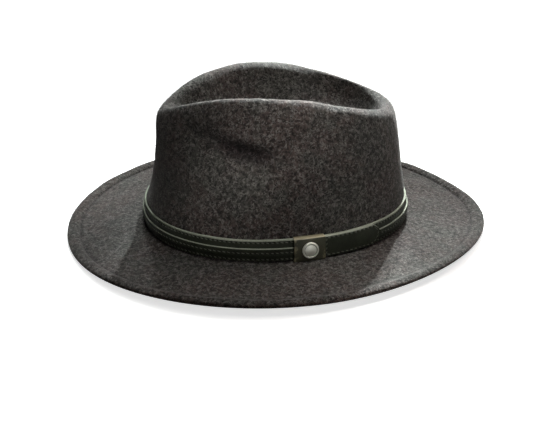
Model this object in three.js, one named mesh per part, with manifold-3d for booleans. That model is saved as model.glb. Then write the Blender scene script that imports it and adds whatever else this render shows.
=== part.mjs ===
// A wide-brimmed felt hat: creased and pinched crown, doubled brim edge, leather band.
// Millimetres, +Z up. The front of the hat is -Y and the wearer's left is +X.
// The origin is on the resting surface, midway along the brim and midway across it.

import * as THREE from 'three';
import { mergeVertices } from 'three/addons/utils/BufferGeometryUtils.js';
import Module from 'manifold-3d';

const wasm = await Module();
wasm.setup();

// Driving sizes

const feltThickness = 2.2;
const stationCount = 64;       // facets round the felt and the band
const seatGap = 0.3;           // clearance between pieces that touch
const leatherThickness = 1.4;
const stripThickness = 1.0;
const keeperThickness = 1.0;

// The felt's outer face, ring by ring, from the crown's crease to the underside of the edge.
// front, back and side are half sizes in plan. round and roundBack are the superellipse
// exponents of the front and back halves, and pinch narrows the front. zFront, zSide and
// zBack are heights, lean lifts the front quarters against the back ones, and sink lowers
// the back quarters. sweep says how late a ring drops towards its ends, and steps is the
// facet rows to the next ring.
const ringColumns = ['name', 'front', 'back', 'side', 'round', 'roundBack', 'pinch',
  'zFront', 'zSide', 'zBack', 'lean', 'sink', 'sweep', 'steps'];
const rings = [
  ['creaseFloor', 36.0, 58.0, 16.0, 2.00, 2.00, 0.36, 82.6, 81.2, 80.6, 0, 0, 2, 1],
  ['creaseFoot', 56.0, 75.0, 30.5, 2.00, 2.40, 0.46, 86.0, 87.0, 81.0, 1, 6, 2, 1],
  ['creaseWall', 69.0, 79.0, 44.0, 2.10, 2.60, 0.57, 91.5, 101.5, 87.0, 4, 17, 2, 2],
  ['ridgeIn', 77.0, 82.0, 51.6, 2.15, 2.45, 0.62, 98.3, 112.0, 93.2, 8, 9, 1.7, 2],
  ['ridgeTop', 83.0, 86.0, 57.8, 2.20, 2.25, 0.61, 99.8, 114.6, 95.4, 9.5, 0, 1.7, 2],
  ['ridgeOut', 87.2, 90.2, 63.6, 2.20, 2.22, 0.55, 96.0, 110.4, 91.4, 8.5, -4, 1.7, 1],
  ['shoulder', 89.4, 93.0, 68.8, 2.20, 2.20, 0.43, 88.0, 99.2, 83.4, 6, 0, 2, 3],
  ['wallHigh', 90.4, 95.6, 74.8, 2.15, 2.17, 0.27, 73.0, 80.0, 69.6, 2, 0, 2, 2],
  ['wallMid', 92.2, 98.0, 79.5, 2.15, 2.15, 0.11, 53.0, 57.0, 51.0, 0, 0, 2, 2],
  ['wallLow', 96.0, 100.7, 83.0, 2.15, 2.15, 0.02, 34.0, 35.0, 33.0, 0, 0, 2, 1],
  ['bandTop', 99.4, 101.8, 84.2, 2.12, 2.12, 0.00, 25.0, 25.0, 25.0, 0, 0, 2, 1],
  ['bandFoot', 100.2, 102.8, 85.3, 2.12, 2.12, 0.00, 8.8, 8.8, 8.8, 0, 0, 2, 1],
  ['brimBreak', 101.6, 104.2, 86.7, 2.12, 2.12, 0.00, 7.8, 7.9, 7.8, 0, 0, 2, 1],
  ['brimRoot', 105.0, 107.6, 90.0, 2.12, 2.10, 0.00, 7.4, 7.8, 7.3, 0, 0, 2, 2],
  ['brimInner', 118.0, 121.8, 102.5, 2.10, 2.02, 0.00, 6.6, 7.8, 6.3, -1, 0, 3, 1],
  ['brimMiddle', 135.0, 141.3, 121.0, 2.08, 1.94, 0.00, 4.7, 7.9, 4.4, -1.2, 0, 4, 1],
  ['weltGroove', 151.1, 158.4, 137.2, 2.06, 1.89, 0.00, 2.5, 7.9, 2.3, -1.5, 0, 4, 2],
  ['weltTop', 157.1, 164.5, 143.2, 2.05, 1.88, 0.00, 4.2, 10.2, 4.0, -1.5, 0, 4, 2],
  ['edge', 161.3, 169.0, 147.4, 2.05, 1.87, 0.00, 2.1, 8.2, 1.9, -1.5, 0, 4, 1],
  ['edgeUnder', 159.6, 167.3, 145.7, 2.05, 1.87, 0.00, -0.2, 5.9, -0.3, -1.5, 0, 4, 1],
  ['restInner', 152.6, 160.1, 138.7, 2.06, 1.88, 0.00, -0.3, 5.6, -0.3, -1.5, 0, 4, 1],
].map((row) => Object.fromEntries(row.map((value, k) => [ringColumns[k], value])));

const creaseCentre = new THREE.Vector3(0, 5, 80.6);
const pinchFade = 2.5;         // how fast the pinch fades from the front to the back
const quarterFade = 1.5;       // how gently a back quarter's sinking starts at the side

// Finger dents in each side of the crown, by the place of the middle on the wall. over and
// under are how far a dent reaches above and below its middle.
const dentColumns = ['y', 'z', 'long', 'over', 'under', 'tilt', 'depth'];
const dents = [
  [-34, 80.5, 19, 6, 17, -9, 8.5],
  [-61, 91, 20, 5.5, 11, -11, 3.8],
  [-7, 87, 15, 7.5, 13, 8, 2.6],
  [15, 92, 16, 8, 12, 4, 1.4],
].map((row) => Object.fromEntries(row.map((value, k) => [dentColumns[k], value])));
const dentFadeWidth = 25;      // half width of the crown under which a dent fades out

// Leather: heights above the floor, and places along the left side of the crown
const bandBottom = 9.1;
const bandTop = 25.0;
const stripBottom = 13.8;
const stripTop = 19.0;
const keeperFront = -7.0;
const keeperBack = 15.5;
const keeperWrap = 0.6;        // thickness of the keeper over the band's two edges
const keeperHeelIn = 1.1;      // where the lower wrap ends, clear of the brim's break
const tabStart = 1.0;
const tabShoulder = 55.5;
const tabTip = 60.0;
const tabTipHeight = 5.0;
const tabBottom = 9.5;
const studPlace = 4.3;
const studRadius = 6.0;
const studPostRadius = 1.6;
const studHoleRadius = 1.9;

// Layers, outwards from the felt
const strapIn = seatGap;
const strapOut = strapIn + leatherThickness;
const stripIn = strapOut + seatGap;
const stripOut = stripIn + stripThickness;
const tabIn = strapOut + seatGap;
const tabOut = tabIn + leatherThickness;
const keeperIn = tabOut + seatGap;
const keeperOut = keeperIn + keeperThickness;

// Facets and small steps
const roundFacets = 24;
const tabSpans = 8;
const keeperSpans = 4;
const turnNudge = 0.01;        // half step in radians for a slope along the band
const drillLength = 8;

const finishes = {
  felt: { color: 0x3a3734, roughness: 0.95, metalness: 0 },
  strap: { color: 0x1d211c, roughness: 0.55, metalness: 0 },
  strip: { color: 0x20251f, roughness: 0.5, metalness: 0 },
  keeper: { color: 0x2d2f25, roughness: 0.45, metalness: 0 },
  stud: { color: 0xb9b7a8, roughness: 0.35, metalness: 1 },
};

const ringNamed = (name) => rings.find((ring) => ring.name === name);
const signedPower = (value, power) => Math.sign(value) * Math.abs(value) ** power;

// A point of a ring. turn runs from the front, past the left side, to the back and round.
function ringPoint(ring, turn) {
  const ahead = Math.cos(turn);
  const aside = Math.sin(turn);
  const reach = ahead > 0 ? ring.front : ring.back;
  const round = ahead > 0 ? ring.round : ring.roundBack;
  const squeeze = 1 - ring.pinch * ((1 + ahead) / 2) ** pinchFade;
  const bow = (ring.zFront + ring.zBack) / 2 - ring.zSide;
  const pitch = (ring.zFront - ring.zBack) / 2;
  const backQuarter = ahead < 0 ? Math.abs(ahead) ** quarterFade * aside ** 2 : 0;
  return new THREE.Vector3(
    ring.side * squeeze * signedPower(aside, 2 / round),
    -reach * signedPower(ahead, 2 / round),
    ring.zSide + bow * Math.abs(ahead) ** ring.sweep
      + pitch * signedPower(ahead, ring.sweep)
      + ring.lean * ahead * aside ** 2 - ring.sink * backQuarter,
  );
}

// Presses the finger dents into a point of the crown's wall.
function dented(point) {
  let press = 0;
  for (const dent of dents) {
    const tilt = THREE.MathUtils.degToRad(dent.tilt);
    const dy = point.y - dent.y;
    const dz = point.z - dent.z;
    const along = (dy * Math.cos(tilt) + dz * Math.sin(tilt)) / dent.long;
    const up = dz * Math.cos(tilt) - dy * Math.sin(tilt);
    const far = up / (up > 0 ? dent.over : dent.under);
    press += dent.depth * Math.exp(-(along ** 2 + far ** 2));
  }
  const fade = Math.min(Math.abs(point.x) / dentFadeWidth, 1);
  point.x -= Math.sign(point.x) * press * fade;
  return point;
}

// Rows of points over the felt's outer face, each row a closed round of stations.
function outerRows() {
  const rows = [];
  const rowNames = [];
  for (let station = 0; station < stationCount; station++) {
    const turn = 2 * Math.PI * station / stationCount;
    const knots = [creaseCentre, ...rings.map((ring) => ringPoint(ring, turn))];
    const curve = new THREE.CatmullRomCurve3(knots, false, 'centripetal');
    let row = 0;
    rings.forEach((ring, k) => {
      const steps = k === rings.length - 1 ? 1 : ring.steps;
      for (let step = 0; step < steps; step++) {
        const point = curve.getPoint((k + 1 + step / steps) / rings.length);
        rows[row] = rows[row] ?? [];
        rows[row].push(point);
        rowNames[row] = step === 0 ? ring.name : '';
        row++;
      }
    });
  }
  const ridgeRow = rowNames.indexOf('ridgeTop');
  const footRow = rowNames.indexOf('bandFoot');
  rows.slice(ridgeRow, footRow).flat().forEach(dented);
  rows.flat().forEach((point) => { point.z = Math.max(point.z, 0); });
  return { rows, rowNames };
}

// The same rows moved through the felt, along the normals of the outer face.
function innerRows(rows, lastRow) {
  const inner = [];
  for (let row = 0; row <= lastRow; row++) {
    inner.push(rows[row].map((point, station) => {
      const count = rows[row].length;
      const before = row === 0 ? creaseCentre : rows[row - 1][station];
      const outward = rows[row + 1][station].clone().sub(before);
      const onward = rows[row][(station + 1) % count].clone();
      onward.sub(rows[row][(station + count - 1) % count]);
      const normal = outward.cross(onward).normalize();
      return point.clone().addScaledVector(normal, -feltThickness);
    }));
  }
  return inner;
}

// Turns every face outwards, if the triangles enclose a negative volume.
function facingOut(points, faces) {
  let volume = 0;
  for (const [a, b, c] of faces) {
    volume += points[a].dot(points[b].clone().cross(points[c]));
  }
  const index = volume < 0 ? faces.map(([a, b, c]) => [a, c, b]) : faces;
  const geometry = new THREE.BufferGeometry().setFromPoints(points);
  geometry.setIndex(index.flat());
  geometry.computeVertexNormals();
  return geometry;
}

function pushQuad(faces, a, b, c, d) {
  faces.push([a, b, c], [a, c, d]);
}

// A closed skin through rounds of points, with a pole at each end.
function poledSkin(rows, firstPole, lastPole) {
  const count = rows[0].length;
  const points = [firstPole, ...rows.flat(), lastPole];
  const lastPoint = points.length - 1;
  const at = (row, station) => 1 + row * count + (station % count);
  const faces = [];
  for (let station = 0; station < count; station++) {
    faces.push([0, at(0, station), at(0, station + 1)]);
    for (let row = 0; row < rows.length - 1; row++) {
      pushQuad(faces, at(row, station), at(row + 1, station),
        at(row + 1, station + 1), at(row, station + 1));
    }
    faces.push([lastPoint, at(rows.length - 1, station + 1), at(rows.length - 1, station)]);
  }
  return facingOut(points, faces);
}

// A thick sheet. Each section is a row of point pairs, one outside and one inside.
function thickSheet(sections, closed = false) {
  const across = sections[0].length;
  const around = 2 * across;
  const points = sections.flatMap((section) => [
    ...section.map((pair) => pair.outside),
    ...section.map((pair) => pair.inside).reverse(),
  ]);
  const faces = [];
  const spans = closed ? sections.length : sections.length - 1;
  for (let span = 0; span < spans; span++) {
    const near = span * around;
    const far = ((span + 1) % sections.length) * around;
    for (let k = 0; k < around; k++) {
      const next = (k + 1) % around;
      pushQuad(faces, near + k, far + k, far + next, near + next);
    }
  }
  if (!closed) {
    const lastStart = (sections.length - 1) * around;
    for (let k = 0; k < across - 1; k++) {
      const inner = around - 1 - k;
      pushQuad(faces, k, k + 1, inner - 1, inner);
      pushQuad(faces, lastStart + inner, lastStart + inner - 1, lastStart + k + 1, lastStart + k);
    }
  }
  return facingOut(points, faces);
}

const footRing = ringNamed('bandFoot');
const topRing = ringNamed('bandTop');

// A point beside the straight stretch of wall that the band sits on.
function wallPoint(turn, height, offset) {
  const share = (height - footRing.zSide) / (topRing.zSide - footRing.zSide);
  const onWall = (angle) => ringPoint(footRing, angle).lerp(ringPoint(topRing, angle), share);
  const along = onWall(turn + turnNudge).sub(onWall(turn - turnNudge));
  const away = new THREE.Vector3(along.y, -along.x, 0).normalize();
  const point = onWall(turn).addScaledVector(away, offset);
  point.z = height;
  return point;
}

// The turn at which the left side of the crown's foot is y along the hat.
function leftTurn(y) {
  const reach = y < 0 ? footRing.front : footRing.back;
  return Math.acos(-signedPower(y / reach, footRing.round / 2));
}

// Evenly spaced values, both ends included.
const spread = (from, to, count) => Array.from({ length: count + 1 },
  (_, k) => from + (to - from) * k / count);

// A plain strip's section: its lower and its upper edge.
const stripSection = (turn, bottom, top, inner, outer) => [bottom, top].map((height) => ({
  outside: wallPoint(turn, height, outer),
  inside: wallPoint(turn, height, inner),
}));

function feltBody() {
  const { rows, rowNames } = outerRows();
  const inner = innerRows(rows, rowNames.indexOf('brimMiddle'));
  const insidePole = creaseCentre.clone();
  insidePole.z -= feltThickness;
  return poledSkin([...rows, ...inner.reverse()], creaseCentre, insidePole);
}

// The strap is one closed round with the felt's own stations, so their facets lie parallel.
function strap() {
  const turns = spread(0, 2 * Math.PI, stationCount).slice(0, -1);
  return thickSheet(turns.map((turn) =>
    stripSection(turn, bandBottom, bandTop, strapIn, strapOut)), true);
}

// The narrow strip starts at the tab's tip and runs round the back to under the keeper.
function narrowStrip() {
  const start = leftTurn(tabTip + 2 * seatGap);
  const end = 2 * Math.PI + leftTurn((keeperFront + tabStart) / 2);
  return thickSheet(spread(start, end, stationCount).map((turn) =>
    stripSection(turn, stripBottom, stripTop, stripIn, stripOut)));
}

// The strap's free end lies over the strap and ends in a blunt point.
function tab() {
  const middle = (tabBottom + bandTop) / 2;
  const places = [...spread(tabStart, tabShoulder, tabSpans), tabTip];
  return thickSheet(places.map((y) => {
    const half = y > tabShoulder ? tabTipHeight / 2 : (bandTop - tabBottom) / 2;
    return stripSection(leftTurn(y), middle - half, middle + half, tabIn, tabOut);
  }));
}

// The keeper is bent over the band's upper and lower edges, with a hole for the stud.
function keeper() {
  const bottom = bandBottom - seatGap;
  const top = bandTop + seatGap;
  const bent = [
    { in: [keeperHeelIn, bottom], out: [keeperHeelIn, bottom - keeperWrap] },
    { in: [keeperIn, bottom], out: [keeperOut - keeperWrap / 2, bottom - keeperWrap] },
    { in: [keeperIn, bottom + keeperWrap], out: [keeperOut, bottom] },
    { in: [keeperIn, top - keeperWrap], out: [keeperOut, top] },
    { in: [keeperIn, top], out: [keeperOut - keeperWrap / 2, top + keeperWrap] },
    { in: [strapIn, top], out: [strapIn, top + keeperWrap] },
  ];
  const places = spread(keeperFront, keeperBack, keeperSpans);
  const sleeve = thickSheet(places.map((y) => bent.map((corner) => ({
    outside: wallPoint(leftTurn(y), corner.out[1], corner.out[0]),
    inside: wallPoint(leftTurn(y), corner.in[1], corner.in[0]),
  }))));
  const drill = new THREE.CylinderGeometry(
    studHoleRadius, studHoleRadius, drillLength, roundFacets);
  const place = studFrame(keeperIn);
  drill.applyQuaternion(place.rotation);
  drill.translate(place.point.x, place.point.y, place.point.z);
  return cutFrom(sleeve, drill);
}

// A geometry as a solid, with its shared vertices merged.
function asSolid(geometry) {
  const bare = geometry.clone();
  bare.deleteAttribute('normal');
  bare.deleteAttribute('uv');
  const merged = mergeVertices(bare);
  return new wasm.Manifold(new wasm.Mesh({
    numProp: 3,
    vertProperties: new Float32Array(merged.attributes.position.array),
    triVerts: new Uint32Array(merged.index.array),
  }));
}

function cutFrom(geometry, tool) {
  const mesh = asSolid(geometry).subtract(asSolid(tool)).getMesh();
  const cut = new THREE.BufferGeometry();
  cut.setAttribute('position', new THREE.BufferAttribute(mesh.vertProperties, 3));
  cut.setIndex(new THREE.BufferAttribute(mesh.triVerts, 1));
  cut.computeVertexNormals();
  return cut;
}

// The stud's place and its turn from the lathe's axis to square off the band.
function studFrame(offset) {
  const turn = leftTurn(studPlace);
  const middle = (bandBottom + bandTop) / 2;
  const point = wallPoint(turn, middle, offset);
  const up = wallPoint(turn, bandTop, offset).sub(wallPoint(turn, bandBottom, offset));
  const along = wallPoint(turn + turnNudge, middle, offset);
  along.sub(wallPoint(turn - turnNudge, middle, offset));
  const away = along.cross(up).normalize();
  const rotation = new THREE.Quaternion().setFromUnitVectors(new THREE.Vector3(0, 1, 0), away);
  return { point, rotation };
}

// Round stud: post, flat back, rounded rim, shallow dish and a low smooth dome.
function studShape() {
  const postLength = keeperOut + seatGap - keeperIn;
  const profile = [
    [0, -postLength],
    [studPostRadius, -postLength],
    [studPostRadius, 0],
    [studRadius - 0.4, 0],
    [studRadius, 0.5],
    [studRadius, 1.2],
    [studRadius - 0.5, 1.7],
    [studRadius - 1.3, 1.7],
    [studRadius - 1.9, 1.3],
    [studRadius - 3.4, 1.5],
    [studRadius - 4.8, 2.0],
    [0, 2.2],
  ].map(([radius, height]) => new THREE.Vector2(radius, height));
  return new THREE.LatheGeometry(profile, roundFacets);
}

function piece(name, geometry, finish) {
  const mesh = new THREE.Mesh(geometry, new THREE.MeshStandardMaterial(finish));
  mesh.name = name;
  return mesh;
}

const stud = piece('keeper_stud', studShape(), finishes.stud);
const studSeat = studFrame(keeperOut + seatGap);
stud.position.copy(studSeat.point);
stud.quaternion.copy(studSeat.rotation);

const hat = new THREE.Group();
hat.add(
  piece('felt_body', feltBody(), finishes.felt),
  piece('hat_band', strap(), finishes.strap),
  piece('band_strip', narrowStrip(), finishes.strip),
  piece('band_tab', tab(), finishes.strap),
  piece('band_keeper', keeper(), finishes.keeper),
  stud,
);

// The rings are centred on the crown, so the hat moves by half of what the back brim is longer.
const edgeRing = ringNamed('edge');
hat.position.y = (edgeRing.front - edgeRing.back) / 2;

export default hat;
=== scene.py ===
import math

import bmesh
import bpy
import numpy as np
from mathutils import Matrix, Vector


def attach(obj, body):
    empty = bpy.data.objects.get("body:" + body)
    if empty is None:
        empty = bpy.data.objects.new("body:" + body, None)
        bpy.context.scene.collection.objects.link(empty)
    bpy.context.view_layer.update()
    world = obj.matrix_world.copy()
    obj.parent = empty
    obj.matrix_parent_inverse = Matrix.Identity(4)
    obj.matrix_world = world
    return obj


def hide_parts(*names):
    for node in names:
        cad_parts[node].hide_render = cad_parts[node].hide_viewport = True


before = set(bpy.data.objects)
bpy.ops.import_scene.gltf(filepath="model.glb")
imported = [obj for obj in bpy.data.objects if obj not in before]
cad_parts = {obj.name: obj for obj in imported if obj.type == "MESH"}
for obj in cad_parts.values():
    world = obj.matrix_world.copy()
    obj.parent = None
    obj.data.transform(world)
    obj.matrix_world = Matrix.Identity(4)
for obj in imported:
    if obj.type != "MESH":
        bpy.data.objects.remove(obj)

# A felt hat with a leather band. Shapes are worked out in millimetres round the crown's own
# middle, and made in metres on the frame.

mm = 0.001
fullTurn = 2 * math.pi
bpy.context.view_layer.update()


def addObject(name, data):
    made = bpy.data.objects.new(name, data)
    bpy.context.scene.collection.objects.link(made)
    return made


# Camera at the photo's angle

cameraSetup = {
    "place": (632.0, -157.35, 307.2), "target": (13.3, -13.25, 13.4),
    "lens": 61.0, "nearest": 0.01, "farthest": 60.0,
}


def makeCamera(setup):
    data = bpy.data.cameras.new("camera")
    data.lens = setup["lens"]
    data.clip_start = setup["nearest"]
    data.clip_end = setup["farthest"]
    camera = addObject("camera", data)
    camera.location = Vector(setup["place"]) * mm
    aim = Vector(setup["target"]) - Vector(setup["place"])
    camera.rotation_euler = aim.to_track_quat("-Z", "Y").to_euler()
    bpy.context.scene.camera = camera


makeCamera(cameraSetup)
print("camera placed")


# Small helpers for shapes

def unit(vectors):
    return vectors / np.maximum(np.linalg.norm(vectors, axis=-1, keepdims=True), 1e-9)


def signedPower(values, power):
    return np.sign(values) * np.abs(values) ** power


def smoothStep(values, low, high):
    share = np.clip((values - low) / (high - low), 0, 1)
    return share * share * (3 - 2 * share)


def bell(values, width):
    return np.exp(-(values / width) ** 2)


def nearestRepeat(values, pitch):        # distance to the nearest multiple of the pitch
    return (values + pitch / 2) % pitch - pitch / 2


def quarterArc(across, up, radius, start, steps, more=0):        # starts at an angle in degrees
    angles = [math.radians(start + 90 * step / steps) for step in range(steps + more)]
    return [(across + radius * math.cos(angle), up + radius * math.sin(angle))
            for angle in angles]


def gridFaces(rows, count, closed=False):
    last = rows if closed else rows - 1
    row, spot = np.meshgrid(np.arange(last), np.arange(count), indexing="ij")
    ahead = (row + 1) % rows
    beside = (spot + 1) % count
    corners = (row * count + spot, ahead * count + spot,
               ahead * count + beside, row * count + beside)
    return np.stack(corners, -1).reshape(-1, 4)


def endFaces(rows, count, first=0):      # one flat face over each end of a tube
    last = first + (rows - 1) * count
    return [list(range(first, first + count))[::-1], list(range(last, last + count))]


def fanFaces(rows, count):       # from the first and last rows to two points added after them
    pole = rows * count
    last = pole - count
    faces = []
    for spot in range(count):
        beside = (spot + 1) % count
        faces += [[pole, spot, beside], [pole + 1, last + beside, last + spot]]
    return faces


def makePiece(name, points, faces, materials, node=None, faceMaterials=None):
    mesh = bpy.data.meshes.new(name)
    mesh.from_pydata(((points.reshape(-1, 3) + crownShift) * mm).tolist(), [], faces)
    for material in materials:
        mesh.materials.append(material)
    if faceMaterials:
        mesh.polygons.foreach_set("material_index", faceMaterials)
    shaped = bmesh.new()
    shaped.from_mesh(mesh)
    bmesh.ops.recalc_face_normals(shaped, faces=shaped.faces)
    shaped.to_mesh(mesh)
    shaped.free()
    mesh.polygons.foreach_set("use_smooth", np.ones(len(mesh.polygons), bool))
    piece = addObject(name, mesh)
    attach(piece, "root")
    if node:
        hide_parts(node)
    return piece


def paint(piece, name, values, endValues=()):
    layer = piece.data.attributes.new(name, "FLOAT", "POINT")
    layer.data.foreach_set("value", np.append(values, endValues).astype(np.float32))


# Nodes of the materials

def addNode(tree, kind, inputs=None, **settings):
    node = tree.nodes.new("ShaderNode" + kind)
    for key, value in settings.items():
        setattr(node, key, value)
    for key, value in (inputs or {}).items():
        if isinstance(value, bpy.types.NodeSocket):
            tree.links.new(value, node.inputs[key])
        else:
            node.inputs[key].default_value = value
    return node


def noise(tree, place, scale, detail=2.0, rough=0.5, warp=0.0, offset=None):
    if offset:
        place = addNode(tree, "VectorMath", {0: place, 1: offset},
                        operation="ADD").outputs[0]
    return addNode(tree, "TexNoise", {
        "Vector": place, "Scale": scale, "Detail": detail, "Roughness": rough,
        "Distortion": warp}).outputs[0]


def compute(tree, operation, first, second=0.0, third=0.0):
    return addNode(tree, "Math", {0: first, 1: second, 2: third},
                   operation=operation).outputs[0]


def weigh(tree, first, firstShare, second, secondShare):
    return compute(tree, "MULTIPLY_ADD", first, firstShare,
                   compute(tree, "MULTIPLY", second, secondShare))


def remap(tree, value, low, high, start=0.0, end=1.0):
    return addNode(tree, "MapRange", {
        0: value, 1: low, 2: high, 3: start, 4: end}).outputs[0]


def blendColour(tree, factor, first, second, mode="MIX"):
    return addNode(tree, "Mix", {0: factor, 6: first, 7: second},
                   data_type="RGBA", blend_type=mode).outputs[2]


def painted(tree, name):         # a value painted on the mesh's points
    return addNode(tree, "Attribute", attribute_name=name).outputs["Fac"]


def newGroup(name, inputs, outputs):
    tree = bpy.data.node_groups.new(name, "ShaderNodeTree")
    for way, sockets in ("INPUT", inputs), ("OUTPUT", outputs):
        for label, kind in sockets.items():
            tree.interface.new_socket(label, in_out=way, socket_type="NodeSocket" + kind)
    return tree, tree.nodes.new("NodeGroupInput").outputs, tree.nodes.new("NodeGroupOutput")


def finishGroup(tree, end, results):
    for label, value in results.items():
        tree.links.new(value, end.inputs[label])
    return tree


# Felt melange: fibres of several shades, felted into soft blotches, with light curly flecks.

melange = {
    "grain": 720, "clump": 400, "blotch": 90, "cloud": 24, "haze": 34,      # noise scales
    "grainSpan": (0.41, 0.59), "tintSpan": (0.42, 0.58), "dimSpan": (0.35, 0.65),
    "curls": (           # scale, width, scale and start of the breaks, and offset
        (380, 0.070, 330, 0.49, (0.11, 0.62, 0.37)),
        (560, 0.070, 260, 0.52, (0.71, 0.22, 0.93)),
        (230, 0.035, 420, 0.53, (0.45, 0.05, 0.15))),
}
noiseSpan = (0.3, 0.7)           # where most values of a plain noise lie


def buildMelange():
    tree, given, end = newGroup("feltMelange", {
        "Place": "Vector", "Dark": "Color", "Middle": "Color", "Light": "Color",
        "Warm": "Color", "Cool": "Color", "Dim": "Color", "Fleck": "Float",
    }, {"Colour": "Color", "Height": "Float"})
    place = given["Place"]
    grain = noise(tree, place, melange["grain"], rough=0.6)
    clump = noise(tree, place, melange["clump"], offset=(0.3, 0.1, 0.7))
    blotch = noise(tree, place, melange["blotch"], offset=(0.9, 0.4, 0.2))
    cloud = noise(tree, place, melange["cloud"], offset=(0.2, 0.8, 0.5))
    haze = noise(tree, place, melange["haze"], offset=(0.6, 0.3, 0.1))

    # Shade from dark to middle by grain and clumps
    mixed = weigh(tree, clump, 0.5, grain, 0.5)
    shares = remap(tree, mixed, *melange["grainSpan"])
    base = blendColour(tree, shares, given["Dark"], given["Middle"])

    # Warm and cool blotches of the blended wool, and broad lighter and darker clouds
    tint = remap(tree, weigh(tree, blotch, 0.45, cloud, 0.55), *melange["tintSpan"])
    base = blendColour(tree, 1.0, base,
                       blendColour(tree, tint, given["Cool"], given["Warm"]), "MULTIPLY")
    dim = remap(tree, haze, *melange["dimSpan"], 1.0, 0.0)
    base = blendColour(tree, dim, base, given["Dim"], "MULTIPLY")

    # Curly fibres: thin bands round the middle value of a noise, broken up by another noise
    curls = None
    for scale, width, breakScale, breakFrom, offset in melange["curls"]:
        field = noise(tree, place, scale, 1.0, 0.5, 0.6, offset)
        away = compute(tree, "ABSOLUTE", compute(tree, "SUBTRACT", field, 0.5))
        line = remap(tree, away, 0.0, width, 1.0, 0.0)
        parts = noise(tree, place, breakScale, 1.0, offset=offset[-1:] + offset[:-1])
        piece = compute(tree, "MULTIPLY", line, remap(tree, parts, breakFrom, breakFrom + 0.1))
        curls = piece if curls is None else compute(tree, "MAXIMUM", curls, piece)
    fleck = compute(tree, "MULTIPLY", curls, given["Fleck"])
    colour = blendColour(tree, fleck, base, given["Light"])
    return finishGroup(tree, end, {"Colour": colour,
                                   "Height": weigh(tree, curls, 0.5, mixed, 0.9)})


# Leather grain: small pebbles with fine creases between them.

def buildLeatherGrain():
    tree, given, end = newGroup("leatherGrain", {
        "Place": "Vector", "Pebble Scale": "Float", "Deep": "Color", "Raised": "Color",
    }, {"Colour": "Color", "Height": "Float", "Roughness": "Float"})
    place = given["Place"]
    pebbles = addNode(tree, "TexVoronoi", {
        "Vector": place, "Scale": given["Pebble Scale"]},
        feature="DISTANCE_TO_EDGE").outputs["Distance"]
    raised = remap(tree, pebbles, 0.02, 0.25)
    patina = noise(tree, place, 110, 3, 0.6, offset=(0.5, 0.2, 0.9))
    fine = noise(tree, place, 2600, rough=0.6)
    share = weigh(tree, raised, 0.45, remap(tree, patina, *noiseSpan), 0.55)
    colour = blendColour(tree, share, given["Deep"], given["Raised"])
    height = weigh(tree, raised, 0.7, fine, 0.3)
    rough = remap(tree, patina, *noiseSpan, 0.62, 0.46)
    return finishGroup(tree, end, {"Colour": colour, "Height": height, "Roughness": rough})


# Edge wear and painted sheen: rubbed and raw places, and the keeper's painted sheen, from the
# values painted on the mesh and broken up by noise.

def buildEdgeWear():
    tree, given, end = newGroup("edgeWear", {
        "Place": "Vector", "Wear And Sheen": "Float", "Break Up": "Float", "Colour": "Color",
        "Worn And Sheen": "Color",
    }, {"Colour": "Color"})
    patches = noise(tree, given["Place"], given["Break Up"], 3, 0.6)
    reach = compute(tree, "ADD", given["Wear And Sheen"], compute(tree, "MULTIPLY_ADD", patches, 0.8, -0.4))
    colour = blendColour(tree, remap(tree, reach, 0.35, 0.65), given["Colour"], given["Worn And Sheen"])
    return finishGroup(tree, end, {"Colour": colour})


melangeGroup = buildMelange()
leatherGroup = buildLeatherGrain()
wearAndSheenGroup = buildEdgeWear()


def newMaterial(name):
    material = bpy.data.materials.new(name)
    material.use_nodes = True
    tree = material.node_tree
    tree.nodes.clear()
    place = tree.nodes.new("ShaderNodeTexCoord").outputs["Object"]
    return material, tree, place


def useGroup(tree, group, inputs):
    return addNode(tree, "Group", inputs, node_tree=group).outputs


def closeMaterial(tree, surface, height=None, depth=0.1, strength=1.0):
    shader = addNode(tree, "BsdfPrincipled", surface)
    if height is not None:
        bump = addNode(tree, "Bump", {
            "Height": height, "Distance": depth * mm, "Strength": strength})
        tree.links.new(bump.outputs[0], shader.inputs["Normal"])
    addNode(tree, "OutputMaterial", {"Surface": shader.outputs[0]})


def shade(red, green, blue):
    return (red, green, blue, 1.0)


feltFinish = {
    "Dark": shade(0.0075, 0.0066, 0.0062),
    "Middle": shade(0.064, 0.057, 0.0525),
    "Light": shade(0.215, 0.200, 0.186),
    "Warm": shade(1.03, 0.875, 0.845),
    "Cool": shade(0.87, 0.945, 0.89),
    "Dim": shade(0.82, 0.82, 0.84),
    "Fleck": 0.58,
}
feltTints = {
    "rimShade": shade(0.60, 0.45, 0.39),       # painted shade on the brim's cut edge and underside, with a browner tone
    "paintedShade": shade(0.38, 0.34, 0.37),   # painted shade in the dents and the brim's groove, and a painted contact shadow under the band
}
feltSurface = {"Roughness": 0.95, "Specular IOR Level": 0.2, "Sheen Weight": 0.12,
               "Sheen Roughness": 0.5, "Sheen Tint": shade(0.9, 0.87, 0.83)}


def feltMaterial():
    material, tree, place = newMaterial("charcoalFelt")
    mixed = useGroup(tree, melangeGroup, {"Place": place, **feltFinish})
    colour = mixed["Colour"]
    # Painted shade at the brim's cut edge and underside, in the dents and the brim's groove, and
    # under the band
    for name, tint in feltTints.items():
        colour = blendColour(tree, painted(tree, name), colour, tint, "MULTIPLY")
    closeMaterial(tree, {"Base Color": colour, **feltSurface}, mixed["Height"],
                  depth=0.6, strength=0.95)
    return material


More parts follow.
